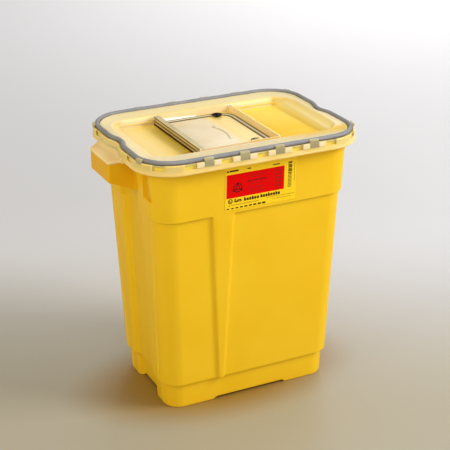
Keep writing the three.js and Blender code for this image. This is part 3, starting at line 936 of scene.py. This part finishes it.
def make_tabs():
    """Flat tabs over the handles, each drawn up into the skirt; the back edge slants."""
    reach, half, skew, top, bottom = 225.5, 41.5, 67.0, 447.2, 443.4
    neck, round_end = 6.0, 4.0
    stops = [-47.5, -46.5, -45, -43.5, -42.3, -41.55, -41.5, -41.2, -40.4, -39.2, -37.5, -30, -20,
             -10, 0, 10, 20, 30, 38, 41, 42, 43.5, 46, 50, 54, 58, 62, 65, 67]
    rows = []
    for y in stops:
        skirt = SKIRT["x"] - DIP * dip_shape(y, 0, DIP_EDGE)
        if y < -half:
            t = (y + half + neck) / neck
            edge = skirt + 0.6 + neck * (1 - math.sqrt(max(1 - t * t, 0)))
        elif y < round_end - half:
            t = (round_end - half - y) / round_end
            edge = reach - round_end * (1 - math.sqrt(max(1 - t * t, 0)))
        elif y < half - 1:
            edge = reach
        else:
            t = clamp((y - half + 1) / (skew - half + 1))
            edge = mix(reach, skirt + 0.8, t)
        saddle = min(7.0, max(edge - skirt - 1.0, 0.3))
        lift = saddle * 0.85
        loop = [(skirt - 1.2, bottom + 0.2), (skirt - 1.2, top + lift)]
        loop += [(skirt + saddle * (1 - math.cos(a)), top + lift * (1 - math.sin(a)))
                 for a in (0.25, 0.6, 0.95, 1.25, math.pi / 2)]
        loop += [(edge - 0.9, top), (edge - 0.25, top - 0.25), (edge, top - 0.9),
                 (edge, bottom + 0.9), (edge - 0.25, bottom + 0.25), (edge - 0.9, bottom)]
        rows.append([(-x, y, z) for x, z in loop])
    tab = lid_piece(round_edges(skin("lid_tab_left", rows), 0.5, 2, 60), TAB_MILK)
    lid_piece(half_turned(tab, "lid_tab_right"), TAB_MILK)


def make_rails():
    rails = [block("rail", -148.5, 148.5, y, y + 3.2, 453.7, 455.6, 0.7, 3) for y in (99.3, -102.5)]
    lid_piece(joined("lid_rails", rails), DECK_MILK)


# --- Door ---

DOOR_HALF = 98.0
DOOR_WALL = 2.2
DOOR_GRIP = 9.0
DOOR_FLOOR = 452.0
PLATE_TOP = DOOR_FLOOR + DOOR_WALL
SEAL = {"x": 61.0, "y": 88.0, "r": 15.0}
BEAD_RIGHT, BEAD_BACK, BEAD_TURN = 49.5, 84.8, 26.0
CAP_CLEAR = 10.5


def under_stud(x, y):
    """From 0 under a stud's cap to 1 clear of it."""
    return smooth((math.hypot(x - STUD_X, abs(y) - STUD_Y) - CAP_CLEAR) / 4)


def oval(offset, half, z0, z1, steps):
    """Section (offset, z) of a flattened round cord between two heights."""
    middle, tall = (z0 + z1) / 2, (z1 - z0) / 2
    return [(offset + half * u, middle + tall * v) for u, v in circle(0, 0, 1, steps)]


def make_seal():
    """The flattened ring of rubber under the door."""
    track = stations([-1.8, 0, 1.8], spread(0, 1, 10), spread(0, 1, 36)[1:-1])
    section = oval(0, 2.7, SEAL_LOW[2], SEAL_HIGH[2], 12)
    rows = [row(plan(track, SEAL, grow, cx=OPENING_X), z) for grow, z in section]
    finish(skin("door_seal", rows, closed=True), "door", "grey_rubber", ["door_gasket"], RUBBER)


def make_bead(name, offset, half, bottom, top, steps=10):
    """A flattened bead along the back of the door's plate and down its right side. It
    sinks almost into the plate under a stud, so that the stud can be pushed in."""
    turn = BEAD_TURN
    start, stop = DOOR_LOW[0] + DOOR_GRIP - 1, DOOR_WALL - DOOR_HALF - 1
    places = [(x, BEAD_BACK, 90) for x in spread(start, BEAD_RIGHT - turn, 40, ends=False)]
    places += [(*polar(BEAD_RIGHT - turn, BEAD_BACK - turn, turn, angle), angle)
               for angle in spread(90, 0, 14)]
    places += [(BEAD_RIGHT, y, 0) for y in spread(BEAD_BACK - turn, stop, 30)[1:]]
    rows = []
    for x, y, angle in places:
        section = []
        for by, z in oval(offset, half, PLATE_TOP + bottom, PLATE_TOP + top, steps):
            px, py = polar(x, y, by, angle)
            if z > PLATE_TOP:
                z = PLATE_TOP + (z - PLATE_TOP) * max(under_stud(px, py), 0.1)
            section.append((px, py, z))
        rows.append(section)
    return skin(name, rows)


def door_slab(name, x0, x1, inset, z0, z1, r):
    """A rounded slab as long as the door, less an inset at both ends."""
    return rounded_slab(name, x0, x1, inset - DOOR_HALF, DOOR_HALF - inset, z0, z1, r)


def make_tray():
    """The door's tray, open above and below, with a hollow grip along its left side."""
    (x0, _, z0), (x1, _, z1) = DOOR_LOW, DOOR_HIGH
    wall, grip = DOOR_WALL, DOOR_GRIP
    door = door_slab("door_tray", x0 + 0.3, x1, 0, z0, z1, 4.5)
    feet = [rounded_slab("foot", x0 + 8, x1 - 8, y - 2.4, y + 2.4, z0 + 0.3, 453.2, 0.8, 2)
            for y in (DOOR_HALF + 0.8, -DOOR_HALF - 0.8)]
    cuts = [door_slab("cut", x0 + grip, x1 - wall, wall, PLATE_TOP, z1 + 5, 3.0),
            door_slab("cut", x0 + wall, x1 - wall, wall, z0 - 5, DOOR_FLOOR, 2.5),
            door_slab("cut", x0 + wall, x0 + grip - wall, wall, z0, z1 - wall, 1.5),
            door_slab("cut", x0 + 1.5, x0 + grip - 0.4, 1.5, z1 - 1.4, z1 + 1, 1.0)]
    cuts += [drum(STUD_X, y, STUD_HOLE, DOOR_FLOOR - 1, PLATE_TOP + 1) for y in (-STUD_Y, STUD_Y)]
    combine(door, feet, "UNION")
    combine(door, cuts, "DIFFERENCE")
    door_piece(bevelled(door, 0.45, angle=40), DOOR_PLATE, DOOR_BACK, DOOR_SIDE_SHADE)
    for polygon in door.data.polygons:
        middle = polygon.center / MM
        # The left wall takes the darker copy, painted shade
        if middle.x < x0 + 2:
            polygon.material_index = 2
        elif middle.y > DOOR_HALF - 3 or middle.x > x1 - 3:
            polygon.material_index = 1
    # The grip cover takes the darker copy too, painted shade
    cover = door_slab("door_grip", x0 + 1.5, x0 + grip - 0.4, 1.5, z1 - 1.4, z1 - 0.1, 1.0)
    door_piece(bevelled(cover, 0.3), DOOR_SIDE_SHADE)


def make_thumb_ridge():
    rows = []
    for t in spread(0, 1, 12):
        x, y = 1.5 - 7 * (2 * t - 1) ** 2, mix(25, -42, t)
        rows.append([(x + dx, y, PLATE_TOP - 0.3 + dz) for dx, dz in
                     ((-3.6, 0), (3.6, 0), (2.4, 1.2), (0.9, 1.9), (-0.7, 1.9), (-2.3, 1.1))])
    return skin("thumb", rows)


def make_wedge():
    """A low wedge in the plate's back left corner, falling to the right; it carries a painted
    highlight.
    """
    rows = []
    for x, front, back, low, high in ((DOOR_LOW[0] + DOOR_GRIP - 0.5, 87.6, 95.9, 1.0, 5.4),
                                      (-8, 89.6, 93.6, 0.8, 1.9)):
        rows.append([(x, y, PLATE_TOP + dz) for y, dz in
                     ((front, -0.2), (front, low), (back, high), (back, -0.2))])
    return bevelled(skin("wedge", rows), 0.2)


def make_door_details():
    """Ridges on the plate; corner posts, a strip along the back edge and a wedge, painted
    bright as highlights; and dark lines along the bead's edges, the left wall, the grip and
    the wall's foot, painted as shade.
    """
    (x0, _, z0), (x1, _, z1) = DOOR_LOW, DOOR_HIGH
    ridges = [make_bead("ridge", 0, 2.8, -0.9, 1.5), make_thumb_ridge()]
    door_piece(joined("door_ridges", ridges), BEAD)
    post, inset = [(0, -6), (1.6, -6), (1.9, -1.2), (1.5, -0.4), (0.6, 0)], 2.5
    post = [(r, z1 + dz) for r, dz in post]
    end = DOOR_HALF - inset
    posts = [lathed("post", post, x, y, 14) for x, y in (
        (x0 + inset, end), (x1 - inset, end), (x1 - inset, -end), (x0 + inset, -end))]
    top = (z1 - 1.2, z1 - 0.1)
    posts.append(block("back_edge_highlight", x0 + 5, x1 - 5, DOOR_HALF - 1.7, DOOR_HALF - 0.5, *top, 0.4))
    door_piece(joined("door_painted_highlights", posts + [make_wedge()]), PAINTED_HIGHLIGHT)
    # Painted shade: dark lines along the bead's edges, on the left wall and along the grip
    lines = [make_bead("edge", by, 1.4, -0.4, 1.4, 8) for by in (-3.9, 3.9)]
    side, grip = (x0, x0 + 1.3), (x0 + DOOR_GRIP - 1.6, x0 + DOOR_GRIP + 0.2)
    for across, low, high in ((side, 456.0, 459.4), (side, 462.8, 465.0), (grip, 463.2, 465.45)):
        lines.append(block("edge", *across, 4 - DOOR_HALF, DOOR_HALF - 4, low, high, 0.4))
    door_piece(joined("door_shade_lines", lines), SHADE)
    # Painted shade: a deep dark line along the foot of the left wall
    base = block("door_base_shade_line", *side, 3 - DOOR_HALF, DOOR_HALF - 3, z0 + 0.1, z0 + 4.2, 0.4)
    door_piece(base, DEEP_SHADE)


STUD = [(0, 449.6), (2.2, 449.6), (2.8, 449.9), (3.0, 450.6), (3.0, 456.3), (3.4, 456.5),
        (8.2, 456.5), (8.8, 456.8), (9.0, 457.4), (8.9, 457.9), (8.4, 458.2), (7.8, 458.3),
        (7.3, 458.1), (6.9, 457.7), (6.2, 457.3), (2.6, 457.3), (2.2, 457.6), (1.8, 458.2),
        (0.9, 458.5), (0, 458.5)]


def make_studs():
    """The two studs, the back one painted near black as shade, and a dark arc round the back
    of the front one's cap, also painted shade.
    """
    for body, node, side, material in (("stud_front", "lock_stud_front", -1, CLEAR),
                                       ("stud_back", "lock_stud_back", 1, BACK_STUD_DARK)):
        stud = lathed(node + "_cap", STUD, STUD_X, side * STUD_Y)
        finish(stud, body, "clear_plastic", [node], material)
    # Painted shade: a dark arc on the far side of the front stud's clear cap
    outer, low, high = 8.7, 457.9, 458.69
    rows = []
    for t in spread(0, 1, 16):
        inner = outer - 0.3 - 2.6 * math.sin(math.pi * t)
        rows.append([(*polar(STUD_X, -STUD_Y, r, mix(25, 155, t)), z)
                     for r, z in ((inner, low), (outer, low), (outer, high), (inner, high))])
    arc = skin("lock_stud_front_shade_arc", rows)
    finish(arc, "stud_front", "clear_plastic", ["lock_stud_front"], DEEP_SHADE)


# --- Labels ---

# Material slot and CAD node of each label, then the gap behind them, the thickness of the
# sheets, and how far in front of the bin each sheet's print lies
YELLOW_LABEL = ("label_film", "front_label")
RED_LABEL = ("hazard_film", "hazard_label")
LABEL_GAP, SHEET, RED_SHEET = 0.3, 0.25, 0.15
INK_DEPTH = 0.06
ON_YELLOW, ON_RED = LABEL_GAP + SHEET, LABEL_GAP + SHEET + RED_SHEET


def front_y(z, lift):
    """The band's drafted front, or a plane at a lift in front of it."""
    return -(BAND_FRONT + BAND_DRAFT * (z - BAND_BOTTOM)) - lift


def print_on_front(name, shapes, lift, thick, label, material):
    """Thin prints on the front, from flat outlines of (x, z) points."""
    verts, faces = [], []
    for shape in shapes:
        start, count = len(verts), len(shape)
        for by in (lift, lift + thick):
            verts += [(x, front_y(z, by), z) for x, z in shape]
        top = start + count
        faces += [tuple(range(start, top)), tuple(reversed(range(top, top + count)))]
        for i in range(count):
            k = (i + 1) % count
            faces.append((start + k, start + i, top + i, top + k))
    slot, node = label
    finish(new_object(name, verts, faces, flat=True), "bin", slot, [node], material)


def bar(x0, x1, z0, z1, r=0.0):
    if not r:
        return [(x0, z0), (x1, z0), (x1, z1), (x0, z1)]
    return rounded_rectangle(x0, x1, z0, z1, r, 4)[::-1]


def ring_shapes(x, z, inner, outer, sides=36):
    """A flat ring, as a run of small quads."""
    shapes = []
    for i in range(sides):
        a, b = 360 * i / sides, 360 * (i + 1) / sides
        corners = ((inner, a), (outer, a), (outer, b), (inner, b))
        shapes.append([polar(x, z, r, turn) for r, turn in corners])
    return shapes


def text_bars(x, z, height, widths, gap=1.2):
    """Plain bars in place of a line of print."""
    shapes = []
    for width in widths:
        shapes.append(bar(x, x + width, z, z + height, min(height, width) * 0.2))
        x += width + gap
    return shapes


def glyphs(x, z, height, count, pitch, bold):
    """Plain strokes in place of letters: two stems joined at a changing height."""
    gap, small, joints = 0.9, height * 0.72, (0, 0.36, 0.58)
    shapes = []
    for i in range(count):
        left, right = x + i * pitch, x + (i + 1) * pitch - gap
        level = z + joints[i % 3] * height
        shapes += [bar(left, left + bold, z, z + (small if i % 3 else height)),
                   bar(right - bold, right, z, z + small),
                   bar(left + bold, right - bold, level, level + bold)]
    return shapes


def make_sheet(name, label, r, lift, thick, material):
    low, high = node_mm(label[1])
    print_on_front(name, [bar(low[0], high[0], low[2], high[2], r)], lift, thick, label, material)


def print_yellow_label():
    dark = ring_shapes(-49.8, 380.2, 2.9, 4.3, 24) + glyphs(-51.8, 378.4, 3.8, 1, 4.6, 1.0)
    dark += glyphs(-42.3, 377.4, 6.4, 2, 6.8, 2.1) + glyphs(-25.0, 377.4, 6.4, 6, 4.7, 1.8)
    dark += glyphs(5.0, 377.8, 6.4, 8, 4.6, 1.8)
    dark += [bar(8.1 * i - 56.4, 8.25 * i - 51.6, 366.3, 368.2 + 0.14 * i) for i in range(9)]
    dark += text_bars(-52.5, 371.6, 2.0, (1.6,))
    dark += text_bars(-57, 432.0, 2.6, (4.0, 16.0)) + text_bars(-20, 432.6, 1.8, (6.5,))
    for i in range(9):
        top, tall = 432.6 - 2.35 * i, (2.0, 1.2, 1.7)[i % 3]
        dark.append(bar(55.0 + 0.5 * (i % 2), 62.6 - 0.4 * (i % 3), top - tall, top))
    print_on_front("label_print", dark, ON_YELLOW, INK_DEPTH, YELLOW_LABEL, INK)
    faint = [bar(55.0, 61.9, z, z + 1.5) for z in spread(387.6, 410.0, 9)]
    faint += [bar(66.4, 67.4, z, z + 2.0) for z in spread(397, 428, 12)]
    faint += glyphs(-48.0, 372.2, 2.2, 14, 3.6, 0.7)
    faint += glyphs(17, 374.6, 1.9, 15, 3.4, 0.6) + glyphs(28, 370.6, 1.8, 10, 3.4, 0.6)
    faint += [bar(26.5, 39.5, 430.8, 433.2)]
    print_on_front("label_fine_print", faint, ON_YELLOW, 0.05, YELLOW_LABEL, FINE_INK)


def print_red_label():
    x, z = -37, 402.6
    motif = ring_shapes(x, z, 6.4, 8.2) + ring_shapes(x, z, 2.6, 4.0)
    for turn in (90, 210, 330):
        arm = []
        for r, side in ((3.8, -1.0), (10.6, -1.0), (10.6, 1.0), (3.8, 1.0)):
            arm.append(polar(*polar(x, z, r, turn), side, turn + 90))
        motif.append(arm)
    print_on_front("label_motif", motif, ON_RED, INK_DEPTH, RED_LABEL, DARK_RED)
    title = glyphs(-19, 409.6, 4.0, 2, 4.2, 1.0) + glyphs(-9.5, 410.0, 4.0, 6, 4.2, 1.0)
    print_on_front("label_red_title", title, ON_RED, INK_DEPTH, RED_LABEL, DARK_RED)
    lines = text_bars(-16, 420.4, 1.2, (12.0, 14.0)) + text_bars(-14, 417.6, 1.2, (22.0,))
    lines += text_bars(-12, 405.2, 1.5, (20.0,)) + text_bars(-18, 399.2, 1.3, (12.0, 18.0))
    lines += text_bars(-16, 395.2, 1.3, (26.0,)) + text_bars(-15, 391.0, 1.5, (14.0, 12.0))
    for z in (419.0, 412.4, 405.8, 399.2, 392.6):
        lines += text_bars(31, z, 4.6, (5.2, 5.2), 1.4)
    print_on_front("label_red_lines", lines, ON_RED, INK_DEPTH, RED_LABEL, DEEP_RED)


# --- Studio ---

def make_camera():
    azimuth, elevation, roll = (math.radians(v) for v in (-25.52, 23.02, -0.57))
    distance, shift, lens = 2.24556, (0.0015, 0.04661), 101.79
    back = Vector((math.sin(azimuth) * math.cos(elevation),
                   -math.cos(azimuth) * math.cos(elevation), math.sin(elevation)))
    level = Vector((math.cos(azimuth), math.sin(azimuth), 0))
    upright = back.cross(level)
    right = level * math.cos(roll) + upright * math.sin(roll)
    up = upright * math.cos(roll) - level * math.sin(roll)
    place = Vector((0, 0, 0.23)) + right * shift[0] + up * shift[1] + back * distance
    data = bpy.data.cameras.new("camera")
    data.sensor_width = 36
    data.lens = lens
    camera = linked("camera", data)
    rows = [(right[i], up[i], back[i], place[i]) for i in range(3)]
    camera.matrix_world = Matrix(rows + [(0, 0, 0, 1)])
    bpy.context.scene.camera = camera


def area_light(name, place, size, power, color=(1, 1, 1), aim=(0, 0, 0.22)):
    data = bpy.data.lights.new(name, "AREA")
    data.shape = "RECTANGLE"
    data.size, data.size_y = size
    data.energy = power
    data.color = color
    light = linked(name, data)
    light.location = place
    direction = Vector(place) - Vector(aim)
    light.rotation_euler = direction.to_track_quat("Z", "Y").to_euler()


def floor_painted_light():
    """Painted light on the floor: warm grey near the bin and paler far behind it, for the
    fall of the light and the brighter backdrop, with a painted shadow and yellow bounce
    around the bin.
    """
    mat = Material("floor_painted_light", srgb(214, 210, 200), 0.5)
    place = mat.place()
    away = mat.vector("DOT_PRODUCT", place, (0.43, 0.90, 0))["Value"]
    back = mat.ramp(away, -0.2, 0.66, kind="SMOOTHSTEP")
    near = mat.mixed(back, (0.362, 0.328, 0.247), (0.622, 0.612, 0.624))
    far = mat.vector("LENGTH", place)["Value"]
    wide = mat.mixed(mat.ramp(far, 0.9, 3.2), near, (0.84, 0.825, 0.83))
    # Painted shadow and bounce: dark yellow-brown round the bin
    flat = mat.vector("MULTIPLY_ADD", place, (1.0, 1.65, 0), (0.03, 0.02, 0))["Vector"]
    bounce_and_shadow = mat.ramp(mat.vector("LENGTH", flat)["Value"], 0.14, 0.30, 1.0, 0.0, "SMOOTHSTEP")
    mat.link(mat.mixed(bounce_and_shadow, wide, (0.28, 0.165, 0.028)), "Base Color")
    return mat.data


def make_studio():
    half = 6000.0
    corners = [(-half, -half, 0), (half, -half, 0), (half, half, 0), (-half, half, 0)]
    floor = new_object("floor", corners, [(0, 1, 2, 3)], flat=True)
    floor.data.materials.append(floor_painted_light())
    world = bpy.data.worlds.new("studio")
    world.use_nodes = True
    background = world.node_tree.nodes["Background"]
    background.inputs["Color"].default_value = (1, 1, 1, 1)
    background.inputs["Strength"].default_value = 0.4
    bpy.context.scene.world = world
    area_light("key", (1.9, -1.4, 1.9), (1.1, 1.1), 62)
    area_light("front", (-0.9, -2.6, 1.2), (2.2, 1.6), 20)
    area_light("side", (-1.7, -0.2, 1.25), (1.3, 0.7), 12.0, (1.0, 0.86, 0.45), aim=(-0.15, 0, 0.4))
    area_light("top", (-0.3, 0.2, 2.6), (2.4, 2.0), 9.5)
    area_light("back", (2.1, 2.6, 1.7), (2.4, 2.0), 40, aim=(1.6, 2.9, 0))
    bpy.context.scene.view_settings.view_transform = "Standard"


make_camera()
make_studio()
make_bin()
make_handles()
make_lid()
make_cord()
make_clips()
make_tabs()
make_rails()
make_tray()
make_door_details()
make_seal()
make_studs()
make_sheet("label_sheet", YELLOW_LABEL, 2.5, LABEL_GAP, SHEET, LABEL)
make_sheet("label_red", RED_LABEL, 0.4, ON_YELLOW, RED_SHEET, RED)
print_yellow_label()
print_red_label()
